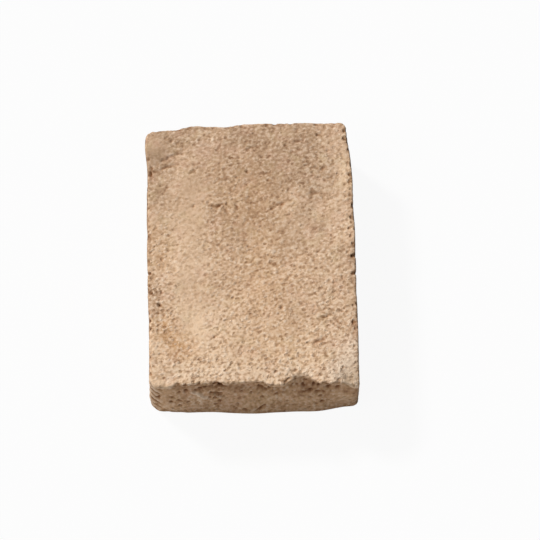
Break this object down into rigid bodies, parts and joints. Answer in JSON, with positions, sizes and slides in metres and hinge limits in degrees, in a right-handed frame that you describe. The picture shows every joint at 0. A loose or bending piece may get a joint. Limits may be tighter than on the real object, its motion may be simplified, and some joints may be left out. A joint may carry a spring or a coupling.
{
  "type": "manufactured stone trim",
  "caption": "Block of cast concrete trim stone with a rough sand-coloured face, ragged worn edges and a flat back that beds in mortar against a wall.",
  "frame": {"origin": "middle of the flat back, on the floor that the block lies on", "axes": "+X along the width, +Y along the length, +Z out of the flat back through the rough face"},
  "size_m": [0.1541, 0.2132, 0.0567],
  "materials": {
    "cast_concrete": "matte"
  },
  "bodies": {
    "root": {"cast_stone": "cast_concrete"}
  },
  "joints": []
}
